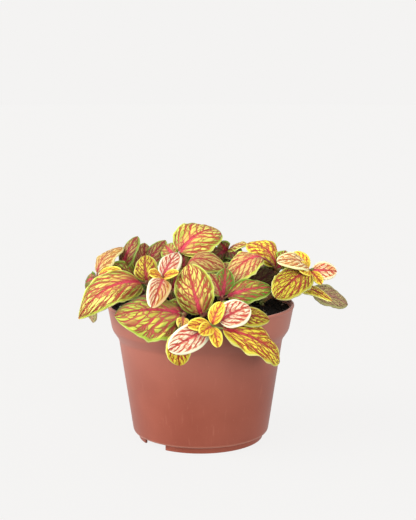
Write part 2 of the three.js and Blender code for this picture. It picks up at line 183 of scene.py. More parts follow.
def pot_plastic():
    """Satin polypropylene: slightly cloudy, with faint rings of the mould, scuffs and dust."""
    material, tree, shader = new_material("terracotta_plastic")
    place = add_node(tree, "TexCoord", {})["Object"]
    height = add_node(tree, "SeparateXYZ", {"Vector": place})["Z"]
    across = add_node(tree, "Mapping", {"Vector": place, "Scale": MOULD_RINGS["stretch"]})[0]
    upright = add_node(tree, "Mapping", {"Vector": place, "Scale": SCUFFS["stretch"]})[0]
    clouds = cloud(tree, place, CLOUDS["scale"], 4)
    rings = cloud(tree, across, 1, 3)
    scuffs = ramp(tree, cloud(tree, upright, 1, 5), *SCUFFS["range"])
    dust = ramp(tree, cloud(tree, place, DUST["scale"], 1), *DUST["range"])
    # Painted highlight: a pale band just above the foot ring.
    painted_highlight_band = calc(tree, "SUBTRACT", ramp(tree, height, *HIGHLIGHT_BAND_FROM), ramp(tree, height, *HIGHLIGHT_BAND_TO))
    colour = mix(tree, ramp(tree, clouds, *CLOUDS["range"]), paint(*TERRACOTTA_DEEP), paint(*TERRACOTTA))
    colour = tinge(tree, scuffs, SCUFFS["share"], colour, TERRACOTTA_WORN_AND_HIGHLIGHT)
    colour = tinge(tree, dust, DUST["share"], colour, TERRACOTTA_WORN_AND_HIGHLIGHT)
    # Painted light: lighter from the lower body up to the rim, between these heights in metres.
    colour = tinge(tree, ramp(tree, height, *LIT_TOP_HEIGHTS), LIT_TOP_SHARE, colour, TERRACOTTA_LIT_TOP)
    colour = tinge(tree, painted_highlight_band, HIGHLIGHT_BAND_SHARE, colour, TERRACOTTA_WORN_AND_HIGHLIGHT)
    roughness = calc(tree, "MULTIPLY_ADD", scuffs, SCUFFS["roughness"], POT_ROUGHNESS)
    roughness = calc(tree, "MULTIPLY_ADD", clouds, CLOUDS["roughness"], roughness)
    set_inputs(tree, shader, {"Base Color": colour, "Roughness": roughness, **POT_SHEEN})
    grain = calc(tree, "MULTIPLY", scuffs, SCUFFS["height"])
    bump(tree, shader, calc(tree, "MULTIPLY_ADD", rings, MOULD_RINGS["height"], grain), POT_GRAIN_DEPTH)
    return material


def turn_profile(profile, steps):
    """A profile of radii and heights, closed on the Z axis and turned round it."""
    turned = bmesh.new()
    line = [turned.verts.new((radius, 0, height)) for radius, height in profile]
    for first, second in zip(line, line[1:]):
        turned.edges.new((first, second))
    bmesh.ops.spin(
        turned, geom=turned.verts[:] + turned.edges[:], cent=(0, 0, 0), axis=(0, 0, 1),
        angle=math.tau, steps=steps, use_merge=True,
    )
    bmesh.ops.remove_doubles(turned, verts=turned.verts, dist=0.001)
    bmesh.ops.recalc_face_normals(turned, faces=turned.faces)
    return turned


def add_object(name, data):
    """A new object, in the scene."""
    new = bpy.data.objects.new(name, data)
    bpy.context.scene.collection.objects.link(new)
    return new


def to_metres(model):
    bmesh.ops.scale(model, vec=[1 / METRE] * 3, verts=model.verts)


def finished_piece(model, name, materials):
    """The modelled piece, made metres, as an object that rides with the part."""
    to_metres(model)
    for face in model.faces:
        face.smooth = True
    mesh = bpy.data.meshes.new(name)
    model.to_mesh(mesh)
    model.free()
    for material in materials:
        mesh.materials.append(material)
    piece = add_object(name, mesh)
    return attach(piece, "root")


def cut_out(piece, cutters):
    """Takes the shapes of the cutters, all in one mesh, out of the piece."""
    mesh = bpy.data.meshes.new("cutters")
    to_metres(cutters)
    cutters.to_mesh(mesh)
    cutters.free()
    tool = add_object("cutters", mesh)
    cut = piece.modifiers.new("cut", "BOOLEAN")
    cut.object = tool
    cut.solver = "EXACT"
    bpy.context.view_layer.update()
    shown = piece.evaluated_get(bpy.context.evaluated_depsgraph_get())
    whole = bpy.data.meshes.new_from_object(shown)
    piece.modifiers.clear()
    piece.data = whole
    bpy.data.objects.remove(tool)


def moulded_pot():
    """The pot's wall and floor, turned from the profile, with its level edges rounded."""
    pot = turn_profile([
        (0, 0),
        (PAD_RADIUS, 0),
        (PAD_RADIUS + PAD_SLOPE, FOOT_HEIGHT),
        (FOOT_RADIUS - FOOT_WIDTH, FOOT_HEIGHT),
        (FOOT_RADIUS - FOOT_WIDTH, 0),
        (FOOT_RADIUS, 0),
        (FOOT_RADIUS, FOOT_HEIGHT),
        (BODY_BOTTOM_RADIUS - 3 * EDGE_ROUND, FOOT_HEIGHT),
        (BODY_BOTTOM_RADIUS - EDGE_ROUND, FOOT_HEIGHT + EDGE_ROUND),
        (BODY_BOTTOM_RADIUS, BODY_BOTTOM_HEIGHT),
        (SHOULDER_RADIUS, SHOULDER_HEIGHT),
        (COLLAR_RADIUS, COLLAR_FOOT),
        (RIM_RADIUS - EDGE_ROUND, BEAD_FOOT),
        (RIM_RADIUS, BEAD_FOOT + EDGE_ROUND),
        (RIM_RADIUS, POT_HEIGHT - EDGE_ROUND),
        (RIM_RADIUS - EDGE_ROUND, POT_HEIGHT),
        (MOUTH_RADIUS + EDGE_ROUND, POT_HEIGHT),
        (MOUTH_RADIUS, BEAD_FOOT),
        *reversed(POT_INSIDE),
    ], POT_STEPS)
    rounds = {POT_ROUNDING: [], SHOULDER_ROUNDING: []}
    for edge in pot.edges:
        height = edge.verts[0].co.z
        level = abs(height - edge.verts[1].co.z) < LEVEL_WITHIN
        if level and len(edge.link_faces) == 2 and edge.calc_face_angle() > SHARP_TURN:
            on_shoulder = SHOULDER_HEIGHT - 1 < height < COLLAR_FOOT + 1
            rounds[SHOULDER_ROUNDING if on_shoulder else POT_ROUNDING].append(edge)
    for width, edges in rounds.items():
        bmesh.ops.bevel(
            pot, geom=[edge for edge in edges if edge.is_valid], offset=width, offset_type="OFFSET",
            segments=ROUNDING_STEPS, profile=0.5, affect="EDGES", material=-1, clamp_overlap=True,
        )
    return pot


def pot_openings():
    """The water notches of the foot ring and the drain holes of the floor."""
    openings = bmesh.new()
    for degrees in FOOT_NOTCH_ANGLES:
        turn = Matrix.Rotation(math.radians(degrees), 4, "Z")
        move = Matrix.Translation((FOOT_RADIUS, 0, 0))
        size = Matrix.Diagonal((FOOT_NOTCH_DEPTH, FOOT_NOTCH_WIDTH, 2 * FOOT_NOTCH_HEIGHT, 1))
        bmesh.ops.create_cube(openings, size=1, matrix=turn @ move @ size)
    drain = Matrix.Translation((DRAIN_CIRCLE, 0, FOOT_HEIGHT + WALL / 2))
    for index in range(DRAIN_COUNT):
        turn = Matrix.Rotation(math.tau * (index + 0.5) / DRAIN_COUNT, 4, "Z")
        bmesh.ops.create_cone(
            openings, cap_ends=True, segments=DRAIN_SIDES, radius1=DRAIN_RADIUS,
            radius2=DRAIN_RADIUS, depth=WALL + 2, matrix=turn @ drain,
        )
    return openings


nursery_pot = finished_piece(moulded_pot(), "nursery_pot", [pot_plastic()])
cut_out(nursery_pot, pot_openings())
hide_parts("pot")


# The soil
# Dark peat potting mix that fills the pot almost to its rim: fine crumbs, a few chips of bark
# and white grains of perlite, heaped slightly towards the stems.
SOIL_GAP = 0.3
SOIL_EDGE = 84
SOIL_CROWN = 1.2
COLLAR_SLOPE = (MOUTH_RADIUS - COLLAR_RADIUS + WALL) / (BEAD_FOOT - COLLAR_FOOT)
SOIL_RADIUS = COLLAR_RADIUS - WALL - SOIL_GAP + (SOIL_EDGE - COLLAR_FOOT) * COLLAR_SLOPE
SOIL_WAVES = [
    {"x": 0.21, "y": 0.15, "phase": 1.3, "height": 0.3},
    {"x": 0.19, "y": -0.17, "phase": 0.4, "height": 0.25},
    {"x": -0.29, "y": 0.34, "phase": 0, "height": 0.3},
]
SOIL_LEVELLING = 4
SOIL_RINGS = 56
SOIL_STEPS = 168
SOIL_LUMPS = [
    {"scale": 0.33, "layer": 8.4, "height": 0.6},
    {"scale": 0.9, "layer": 1.7, "height": 0.3},
]
CRUMBS = {"count": 520, "least": 0.8, "most": 2.8, "flatness": 0.7, "lie": 0.8}
CHIPS = {"count": 60, "least": 2, "most": 5.5, "flatness": 0.22, "lie": 0.5}
GRAINS = {"count": 42, "least": 0.8, "most": 2, "flatness": 0.8, "lie": 0.8}
BIT_RADIUS = 0.6
BIT_LENGTHS = (0.7, 1.2)
BIT_WIDTH = 0.6
BIT_CLEARANCE = 1.5
BIT_RISE = 0.35
BIT_DENTS = {"scale": 0.9, "depth": 0.14}
PEAT = (40, 29, 20)
BARK = (92, 62, 42)
EARTHS = {
    "peat": {"dark": (17, 12, 9), "light": PEAT, "scale": 900, "roughness": 0.95},
    "bark": {"dark": PEAT, "light": BARK, "scale": 600, "roughness": 0.9},
    "perlite": {"dark": BARK, "light": (205, 200, 188), "scale": 2600, "roughness": 0.85},
}
EARTH_RANGE = (0.42, 0.75)
EARTH_SPECULAR = 0.25
EARTH_GRAIN_DEPTH = 0.5
SOIL_SEED = 7


def soil_height(x, y):
    """The height of the soil's surface over a point of the pot."""
    out = math.hypot(x, y) / SOIL_RADIUS
    relief = 0
    for wave in SOIL_WAVES:
        relief += wave["height"] * math.sin(wave["x"] * x + wave["y"] * y + wave["phase"])
    relief *= min(1, SOIL_LEVELLING * (1 - out))
    for lumps in SOIL_LUMPS:
        relief += lumps["height"] * noise.noise((x * lumps["scale"], y * lumps["scale"], lumps["layer"]))
    return SOIL_EDGE + SOIL_CROWN * (1 - out**2) + relief


def crumbly(name, earth):
    """A matte, uneven earth finish between a dark and a light colour."""
    material, tree, shader = new_material(name)
    place = add_node(tree, "TexCoord", {})["Object"]
    grain = cloud(tree, place, earth["scale"], 6)
    share = ramp(tree, grain, *EARTH_RANGE)
    set_inputs(tree, shader, {
        "Base Color": mix(tree, share, paint(*earth["dark"]), paint(*earth["light"])),
        "Roughness": earth["roughness"],
        "Specular IOR Level": EARTH_SPECULAR,
    })
    bump(tree, shader, grain, EARTH_GRAIN_DEPTH)
    return material


class Draw:
    """Seeded draws, the same in every run."""

    def __init__(self, seed):
        self.state = seed

    def spread(self):
        """A number between -1 and 1."""
        self.state = (self.state * 1664525 + 1013904223) % 2**32
        return self.state / 2**31 - 1

    def between(self, low, high):
        return low + (high - low) * (self.spread() + 1) / 2


def soil_surface():
    """The root ball, which fills the pot's inside, under a finely ringed and uneven top."""
    sides = [(max(0, radius - SOIL_GAP), height + SOIL_GAP) for radius, height in POT_INSIDE]
    top = [(SOIL_RADIUS * index / SOIL_RINGS, SOIL_EDGE) for index in range(SOIL_RINGS + 1)]
    soil = turn_profile([*sides, *reversed(top)], SOIL_STEPS)
    for vert in soil.verts:
        if vert.co.z > SOIL_EDGE - 0.5:
            vert.co.z = soil_height(vert.co.x, vert.co.y)
    return soil


def scattered(kind, draw):
    """Uneven bits of one kind, of sizes between its least and its most, spread over the soil."""
    bits = bmesh.new()
    for _ in range(kind["count"]):
        size = draw.between(kind["least"], kind["most"])
        radius = (SOIL_RADIUS - BIT_CLEARANCE * size) * math.sqrt(draw.between(0, 1))
        angle = draw.between(0, math.tau)
        x = radius * math.cos(angle)
        y = radius * math.sin(angle)
        turn = Matrix.Rotation(draw.between(0, math.tau), 4, "Z")
        tilt = Matrix.Rotation(draw.between(-kind["lie"], kind["lie"]), 4, "X")
        thickness = size * kind["flatness"]
        shape = Matrix.Diagonal((size * draw.between(*BIT_LENGTHS), size * BIT_WIDTH, thickness, 1))
        place = Matrix.Translation((x, y, soil_height(x, y) + thickness * BIT_RISE))
        made = bmesh.ops.create_icosphere(
            bits, subdivisions=1, radius=BIT_RADIUS, matrix=place @ turn @ tilt @ shape,
        )
        for vert in made["verts"]:
            dent = noise.noise_vector(vert.co * BIT_DENTS["scale"])
            vert.co += BIT_DENTS["depth"] * size * dent
    return bits


# The dents of the bits follow this seed too, so that they are the same in every run.
noise.seed_set(SOIL_SEED)
soil_draw = Draw(SOIL_SEED)
peat, bark, perlite = [crumbly(name, earth) for name, earth in EARTHS.items()]
soil = finished_piece(soil_surface(), "soil_heap", [peat])
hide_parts("soil")
finished_piece(scattered(CRUMBS, soil_draw), "soil_crumbs", [peat])
finished_piece(scattered(CHIPS, soil_draw), "bark_chips", [bark])
finished_piece(scattered(GRAINS, soil_draw), "perlite", [perlite])


# The stems' places and their leaves
# Short fleshy stems stand in the soil and carry leaves in crossed pairs, the young ones at the
# top of each stem. A leaf is given by the point of the stem that it grows from, where its tip
# is, the way its upper face looks, the width of its blade and its age.
LEAF_AGES = {
    "tip": {
        "arch": 0.1, "fold": 0.4, "curl": 0.25, "wave": 0.04, "twist": 0, "petiole": 0.1,
        "base": 0.46, "point": 0.48,
    },
    "young": {
        "arch": 0.1, "fold": 0.22, "curl": 0.3, "wave": 0.06, "twist": 6, "petiole": 0.08,
        "base": 0.46, "point": 0.5,
    },
    "mid": {
        "arch": 0.11, "fold": 0.22, "curl": 0.32, "wave": 0.09, "twist": 8, "petiole": 0.1,
        "base": 0.46, "point": 0.55,
    },
    "old": {
        "arch": 0.12, "fold": 0.2, "curl": 0.34, "wave": 0.1, "twist": 8, "petiole": 0.12,
        "base": 0.46, "point": 0.55,
    },
}
SCALLOPS = {"tip": 0, "young": 0, "mid": 0.018, "old": 0.018}
PLAIN_TONE = {"tint": 0, "tint_side": 0, "blush": 0, "dull": 0, "shade": 0, "shade_side": 0}


def leaf(node, tip, face, width, age, form=None):
    """One leaf, with what differs from the form and the colours usual at its age."""
    places = {"node": node, "tip": Vector(tip), "face": Vector(face), "width": width}
    usual = {**LEAF_AGES[age], **PLAIN_TONE, "look": age, "scallops": SCALLOPS[age], "lobes": 1}
    return {**usual, **(form or {}), **places}


def shoot(name, stem, leaves):
    """One leafy stem: its points from the soil to its growing tip, and its leaves."""
    return {"name": "shoot_" + name, "stem": [Vector(point) for point in stem], "leaves": leaves}


# The broad old leaf that hangs over the front of the pot.
BROAD_BASE = {"fold": 0.1, "curl": 0.5, "petiole": 0.05, "base": 0.3, "point": 0.6}

FRONT_SHOOTS = [
    shoot("young_left", [[-16, -14, 87], [-19, -24, 97], [-23, -34, 109]], [
        leaf(2, [-14, -25, 124], [-0.5, -1, 0.6], 15, "young", {"shade": 0.26}),
        leaf(2, [-28.3, -67, 98], [0.25, -1, 0.8], 14, "young",
            {"arch": 0.16, "tint": 0.6, "tint_side": -0.7, "shade": 0.1}),
        leaf(2, [-31, -42, 113.5], [-0.1, -0.9, 1], 10, "tip"),
        leaf(2, [-13, -41, 114], [0.2, -0.9, 1], 7.5, "tip"),
    ]),
    shoot("left_arm", [[-24, -6, 87], [-29, -12, 93], [-33, -18, 103]], [
        leaf(2, [-75, -32, 84], [-0.1, -0.95, 0.9], 25.5, "mid",
            {"arch": 0.33, "base": 0.38, "point": 0.7, "tint": 0.35}),
        leaf(2, [-34.5, -13, 120.5], [-0.35, -1, 0.3], 16.5, "mid",
            {"look": "gold", "tint": 0.15, "shade": 0.32}),
    ]),
    shoot("left_out", [[-38, 6, 87], [-54, 2, 98], [-67, 0, 104]], [
        leaf(2, [-51, 12, 122], [-1, -0.8, 0.6], 19, "mid",
            {"arch": 0.2, "fold": 0.1, "look": "cream", "tint": 0.7, "shade": 0.22}),
        leaf(2, [-50, -9, 110], [0.1, -0.9, 0.8], 8, "tip"),
        leaf(2, [-75, 8, 98], [-0.7, -0.5, 0.6], 14, "old", {"tint": 2, "shade": 0.1}),
        leaf(2, [-69, -4, 75.5], [-0.9, -0.6, 0.4], 12, "old", {"petiole": 0.4, "dull": 0.7}),
    ]),
    shoot("left_back", [[-33, 16, 87], [-40, 12, 100], [-51, 7, 106]], [
        # Four of these leaves take the darker look, which is painted shade.
        leaf(2, [-41, 13, 129], [-0.7, -1, 0.1], 13, "old", {"look": "shaded_old", "tint": 0.3}),
        leaf(1, [-23, 16, 126], [-0.25, -1, 0.7], 14, "old", {"look": "shaded_old", "tint": 0.3}),
        leaf(1, [-28, 0, 112], [-0.1, -1, 0.6], 15, "old", {"look": "shaded_old", "tint": 0.3}),
        leaf(1, [-37, 18, 124], [0.3, -1, 0.2], 15, "old", {"petiole": 0.15, "look": "shaded_old", "blush": 0.3}),
        leaf(1, [-58, 2, 112], [-0.1, -1, 0.5], 14, "old", {"tint": 0.8}),
    ]),
    shoot("front_left", [[-6, -20, 87], [-8, -34, 88.5], [-10, -45, 89], [-10, -55, 91.5]], [
        leaf(3, [-50.3, -61, 91.8], [-0.1, -0.9, 1.05], 36, "old",
            {**BROAD_BASE, "tint": 0.5, "tint_side": 0.5, "shade_side": 1}),
        leaf(3, [-10.5, -67, 85], [0.2, -0.8, 0.9], 8, "tip", {"petiole": 0.35, "dull": 0.2}),
        leaf(3, [-12, -70, 64.2], [-0.1, -0.4, 1], 15, "mid",
            {"arch": 0.3, "petiole": 0.45, "point": 0.4, "look": "gold"}),
        leaf(1, [-22, -36, 92], [0.1, -0.8, 0.8], 14, "old", {"tint": 0.8}),
    ]),
    shoot("front_young", [[8, -30, 87], [8, -50, 92], [7.5, -61, 91.5], [7, -68, 87]], [
        leaf(3, [29, -61, 97.5], [-0.35, -1, 0.55], 18.5, "young", {"petiole": 0.2}),
        leaf(3, [-18, -77, 75], [0.2, -1, 0.45], 16.5, "young"),
        leaf(3, [13, -66, 101], [-0.3, -0.9, 0.5], 9.5, "tip"),
        leaf(3, [-7, -76, 89], [0.1, -1, 0.8], 9, "tip"),
        leaf(3, [0, -79, 85], [0.2, -1, 0.6], 9, "tip"),
        leaf(3, [10.5, -79, 77], [0.2, -1, 0.3], 8, "tip"),
        leaf(3, [48, -46, 60], [0.35, -1, 0.7], 20, "mid",
            {"arch": 0.2, "wave": 0.16, "scallops": 0.08, "lobes": 0.5, "look": "gold"}),
        leaf(2, [41, -59, 89], [0.1, -0.8, 0.75], 15, "old",
            {"petiole": 0.2, "look": "gold", "tint": 0.3, "shade": 0.35}),
        leaf(1, [30, -45, 92], [0.1, -0.8, 1], 15, "old", {"tint": 0.8}),
    ]),
    shoot("centre_front", [[3, -24, 87], [3, -38, 88], [1, -45, 88]], [
        leaf(2, [-7.5, -34, 118], [-0.2, -1, 0.3], 24.5, "mid", {"petiole": 0.05, "tint": 0.3}),
        leaf(1, [-6, -27, 94], [-0.2, -0.3, 1], 12, "old", {"tint": 0.8}),
    ]),
    shoot("centre_right", [[14, -14, 87], [14, -24, 90], [13.3, -31, 96]], [
        leaf(2, [15.5, -23, 114], [0.15, -1, 0.2], 13, "old", {"tint": 1.8}),
        leaf(2, [44, -28, 102.5], [-0.1, -0.8, 0.8], 18.5, "old", {"tint": 1.15}),
        leaf(2, [6, -27, 111], [0.6, -1, 0.3], 13, "old", {"blush": 0.7}),
    ]),
    shoot("centre_top", [[-6, 8, 87], [-10, 2, 104], [-16, 0, 117]], [
        leaf(2, [10.8, 20, 132.5], [-0.3, -1, 0.9], 31, "mid",
            {"arch": 0.2, "wave": 0.02, "base": 0.4, "point": 0.5, "tint": 0.4}),
        leaf(1, [15, -14, 112], [-0.1, -0.6, 1], 24, "old",
            {"arch": 0.38, "look": "mid", "tint": 0.3, "blush": 0.4, "shade": 0.25}),
        leaf(2, [-23, 12, 123], [-0.1, -1, 0.4], 13, "old", {"tint": 0.6, "blush": 0.3}),
        leaf(1, [-11, 5, 122], [-0.1, -1, 0.3], 13, "old", {"tint": 0.8, "shade": 0.4}),
    ]),
    shoot("right_mid", [[30, 6, 87], [38, 4, 98], [49, 1, 108]], [
        leaf(2, [30, 10, 124.5], [0.5, -0.6, 1], 24, "mid", {"arch": 0.26, "look": "gold"}),
        leaf(2, [16.5, -17, 104.5], [-0.55, -0.8, 1], 22, "old",
            {"arch": 0.38, "petiole": 0.36, "point": 0.4, "look": "mid", "tint": 0.35, "blush": 0.5}),
        leaf(2, [55, 7, 120.5], [0.3, -0.8, 0.7], 12, "old", {"tint": 0.6}),
        leaf(1, [49, 3, 111], [0, -1, 0.2], 14, "old", {"tint": 0.8, "shade": 0.6}),
    ]),
    shoot("right_young", [[40, 4, 87.6], [56, -4, 99], [69, -10, 110]], [
        leaf(2, [47.5, -22, 118], [0, -0.7, 1], 15, "young", {"arch": 0.2, "look": "cream", "tint": 0.15}),
        leaf(2, [58, 0, 119.5], [-0.2, -0.8, 0.9], 12, "tip"),
        leaf(2, [46, -38, 98], [-0.5, -1, 0.2], 22.5, "mid", {"look": "gold", "tint": 0.5, "shade": 0.3}),
        leaf(2, [86, -12, 110], [0, -1, 0.6], 13, "young", {"tint": 0.5}),
        leaf(2, [76, -18, 103], [0.1, -0.9, 0.7], 7, "tip"),
        leaf(2, [61, -22, 113], [-0.1, -1, 0.5], 11, "tip"),
        leaf(1, [82, -22, 93], [0.1, -0.5, 0.9], 10, "mid", {"look": "gold"}),
        leaf(1, [95, 2, 86], [0.1, -0.9, 0.7], 15, "old", {"petiole": 0.35, "dull": 0.7, "shade": 0.22}),
        leaf(1, [68, 10, 110], [-0.2, 0.6, 1], 14, "old", {"tint": 0.5}),
    ]),
    shoot("back_top", [[12, 24, 87], [14, 24, 102], [17, 20.5, 117.5]], [
        # All but the second of these leaves take the darker look, which is painted shade.
        leaf(2, [12.5, 17, 125], [0.3, -1, 0], 10, "old", {"look": "shaded_old", "tint": 1.0}),
        leaf(2, [30, 12, 123.5], [0, -0.4, 1], 14, "mid"),
        leaf(2, [25, 2, 116], [0, -1, 0.7], 13, "old", {"look": "shaded_old", "tint": 0.8, "shade": 0.3}),
        leaf(2, [7, 6, 115.5], [0, -1, 0.5], 13, "old", {"look": "shaded_old", "tint": 0.8, "shade": 0.4}),
    ]),
    shoot("inner_left", [[-12, -3, 87], [-16, -6, 93], [-18, -8, 97]], [
        leaf(2, [-4, -19, 102.5], [0.1, -1, 0.6], 15.5, "old", {"tint": 0.9}),
        leaf(2, [-27, 2, 108], [-0.4, -0.8, 0.6], 15, "old", {"tint": 0.9}),
        leaf(2, [-14, -8, 111], [0, -1, 0.2], 12, "old", {"tint": 0.9, "shade": 0.3}),
    ]),
    shoot("inner_right", [[24, -4, 87], [25, -10, 92], [27, -14, 96]], [
        leaf(2, [46, -10, 110], [-0.1, -1, 0.4], 18.5, "old", {"blush": 0.4, "shade": 0.9}),
        leaf(2, [12, -1, 113], [-0.1, -1, 0.4], 17, "old", {"tint": 0.4, "blush": 0.8}),
    ]),
]

# The stems that the front ones hide
# They grow by a rule: crossed pairs, a quarter turn from pair to pair, of leaves that are longer,
# wider and lower the further they are from the growing tip.
LEAF_PAIRS = [
    {"reach": 10, "width": 7, "rise": 8, "age": "tip"},
    {"reach": 23, "width": 15, "rise": 4, "age": "young"},
    {"reach": 33, "width": 23, "rise": -8, "age": "old"},
]
BACK_CROWNS = [
    {"name": "back_right", "angle": 24, "radius": 58, "height": 94, "spin": 0, "size": 1},
    {"name": "back_mid_right", "angle": 60, "radius": 56, "height": 98, "spin": 20, "size": 1},
    {"name": "back_mid_left", "angle": 100, "radius": 58, "height": 97, "spin": 30, "size": 1},
    {"name": "back_left", "angle": 142, "radius": 58, "height": 98, "spin": 157, "size": 1},
    {"name": "upper_back_right", "angle": 38, "radius": 36.5, "height": 109, "spin": 140, "size": 0.8},
    {"name": "upper_back_mid", "angle": 88, "radius": 36, "height": 113, "spin": 45, "size": 0.85},
    {"name": "upper_back_left", "angle": 124, "radius": 42, "height": 110, "spin": 18, "size": 0.85},
]
BACK_STEM = {"root_share": 0.7, "bend_share": 0.85, "bend_drop": 6}
BACK_SPREAD = {"turn": 12, "reach": 0.1}
BACK_TINT = {"middle": 0.5, "swing": 0.4, "swings": 7}
BACK_LEAN = 0.3
STEM_RISE = 87
CROWN_SEED = 20


def back_shoot(crown, draw):
    """One stem of the back, with its three pairs of leaves round the top."""
    angle = math.radians(crown["angle"])
    radius = crown["radius"]
    height = crown["height"]

    def stem_point(out, up):
        return [out * math.cos(angle), out * math.sin(angle), up]

    top = stem_point(radius, height)
    root = stem_point(radius * BACK_STEM["root_share"], STEM_RISE)
    bend = stem_point(radius * BACK_STEM["bend_share"], height - BACK_STEM["bend_drop"])
    leaves = []
    for index, pair in enumerate(LEAF_PAIRS):
        for side in (0, 180):
            turn = math.radians(crown["spin"] + 90 * index + side + BACK_SPREAD["turn"] * draw.spread())
            reach = pair["reach"] * crown["size"] * (1 + BACK_SPREAD["reach"] * draw.spread())
            x = math.cos(turn)
            y = math.sin(turn)
            tip = [top[0] + reach * x, top[1] + reach * y, height + pair["rise"]]
            tone = {}
            if pair["age"] == "old":
                swing = math.sin(BACK_TINT["swings"] * turn)
                tone["tint"] = BACK_TINT["middle"] + BACK_TINT["swing"] * swing
            # The smaller crowns behind sit in the shade of the others and take the look painted darker,
            # which is painted shade.
            if crown["size"] < 1:
                tone["look"] = "shaded_old"
            width = pair["width"] * crown["size"]
            leaves.append(leaf(2, tip, [x * BACK_LEAN, y * BACK_LEAN, 1], width, pair["age"], tone))
    return shoot(crown["name"], [root, bend, top], leaves)


crown_draw = Draw(CROWN_SEED)
SHOOTS = [*FRONT_SHOOTS, *(back_shoot(crown, crown_draw) for crown in BACK_CROWNS)]


# The leaves' and the stems' finish
# A leathery blade with yellow, green or cream islands between pink and brick-red veins: the
# midrib, five or six side veins on each half that fork towards the margin, and a net between
# them. The margin is pale, the underside grey-green, and the stems green to pink.
LEAF_LOOKS = {
    "tip": {
        "island": (252, 222, 62), "between": (240, 178, 56), "heart": (238, 128, 74),
        "lateral": (210, 94, 46), "rib": (228, 98, 84), "root": (204, 58, 60),
        "margin": (254, 234, 78), "tint": (222, 186, 50), "margin_width": 1.1, "brink": 0.2,
        "vein_width": 0.6, "rib_width": 0.45, "green": 0.1, "mesh": 0.5, "warmth": 0.6,
    },
    "young": {
        "island": (252, 236, 202), "between": (238, 186, 138), "heart": (232, 120, 100),
        "lateral": (200, 74, 60), "rib": (228, 84, 98), "root": (204, 40, 72),
        "margin": (255, 250, 216), "tint": (240, 184, 70), "margin_width": 1.6, "brink": 0.1,
        "vein_width": 0.8, "rib_width": 0.75, "green": 0.1, "mesh": 0.4, "warmth": 0.55,
    },
    "cream": {
        "island": (252, 238, 184), "between": (246, 220, 140), "heart": (242, 186, 112),
        "lateral": (198, 110, 62), "rib": (206, 96, 72), "root": (204, 64, 72),
        "margin": (252, 250, 190), "tint": (228, 186, 70), "margin_width": 1.3, "brink": 0.3,
        "vein_width": 0.7, "rib_width": 0.6, "green": 0.2, "mesh": 0.6, "warmth": 0.5,
    },
    "mid": {
        "island": (240, 224, 114), "between": (202, 144, 66), "heart": (228, 134, 76),
        "lateral": (186, 66, 50), "rib": (226, 76, 92), "root": (192, 30, 62),
        "margin": (204, 214, 62), "tint": (122, 158, 32), "margin_width": 1.3, "brink": 0.6,
        "vein_width": 0.58, "rib_width": 1.05, "green": 0.9, "mesh": 0.8, "warmth": 0.6,
    },
    "gold": {
        "island": (252, 232, 70), "between": (222, 172, 46), "heart": (236, 132, 58),
        "lateral": (184, 62, 38), "rib": (218, 78, 74), "root": (186, 32, 50),
        "margin": (226, 218, 58), "tint": (176, 172, 34), "margin_width": 1.4, "brink": 0.7,
        "vein_width": 0.6, "rib_width": 0.8, "green": 0.5, "mesh": 0.85, "warmth": 0.25,
    },
    "old": {
        "island": (216, 212, 84), "between": (172, 150, 58), "heart": (202, 116, 76),
        "lateral": (180, 66, 60), "rib": (218, 72, 92), "root": (170, 26, 58),
        "margin": (166, 194, 50), "tint": (96, 142, 30), "margin_width": 1.4, "brink": 0.4,
        "vein_width": 0.54, "rib_width": 1.05, "green": 1, "mesh": 0.8, "warmth": 0.5,
    },
    # This look is the old look painted darker: painted shade for leaves that sit behind and under others,
    # with more crimson towards the base.
    "shaded_old": {
        "island": (182, 156, 74), "between": (142, 98, 52), "heart": (170, 66, 62),
        "lateral": (146, 46, 46), "rib": (194, 52, 72), "root": (156, 22, 50),
        "margin": (142, 168, 54), "tint": (72, 106, 28), "margin_width": 1.2, "brink": 0.2,
        "vein_width": 0.7, "rib_width": 1.1, "green": 0.9, "mesh": 0.7, "warmth": 0.9,
    },
}
LEAF_COLOURS = ("island", "between", "heart", "lateral", "rib", "root", "margin", "tint")
BRINK = (250, 244, 168)
BLUSH = (212, 146, 108)
DULL = (206, 180, 148)
SHADE = (38, 22, 14)
UNDERSIDE = (156, 156, 106)
UNDERSIDE_VEIN = (168, 128, 104)
STEM_GREEN = (120, 138, 62)
STEM_PINK = (178, 84, 84)
FORK = {"from": 0.3, "to": 1.1, "spread": 0.3}
SIDE_VEIN_THINNING = 0.02
VEIN_WANDER = {"stretch": 3, "scale": 1.3, "reach": 0.7}
NEXT_LEAF = 5.3
NET_CELLS = {"along": 1.05, "out": 5.2, "randomness": 0.85}
SIDE_VEIN_EDGE = (0.05, 0.2)
VEIN_TAPER = {"inside": 1.35, "outwards": -0.5}
NET_EDGE = (0.01, 0.1)
NET_SINK = 0.05
VEIN_END = (0.4, 1.6)
ISLAND_EDGE = (0.09, 0.26)
RIB_TAPER = 0.85
RIB_EDGE = 0.5
PATCHES = {"scale": 0.9, "range": (0.32, 0.6), "uneven": 1.2}
MARGIN_EDGE = (0.45, 1.25)
HEART_ALONG = (0.1, 0.85)
HEART_ACROSS = (0.05, 0.7)
ROOT_ALONG = (0.02, 0.24)
ROOT_ACROSS = (0.04, 0.4)
GREEN_ALONG = (0.1, 0.6)
GREEN_ACROSS = (0.4, 1)
MIDRIB_ALONG = (0.1, 0.8)
BRINK_EDGE = (0.15, 0.7)
TINT_SHARES = {"plain": 0.45, "island": 0.6, "margin": 0.5}
BLUSH_SHARES = {"island": 0.6, "vein": 0.3}
DULL_SHARE = 0.8
LEAF_ROUGHNESS = 0.42
SHADE_ROUGHNESS = 0.5
LEAF_SPECULAR = 0.35
LEAF_GRAIN = {"scale": 9, "height": 0.25, "depth": 0.6}
VEIN_HEIGHT = -0.8
UNDERSIDE_VEINS = {"edge": (0.03, 0.14), "share": 0.6, "depth": 0.3}
UNDERSIDE_ROUGHNESS = 0.6
UNDERSIDE_SPECULAR = 0.3
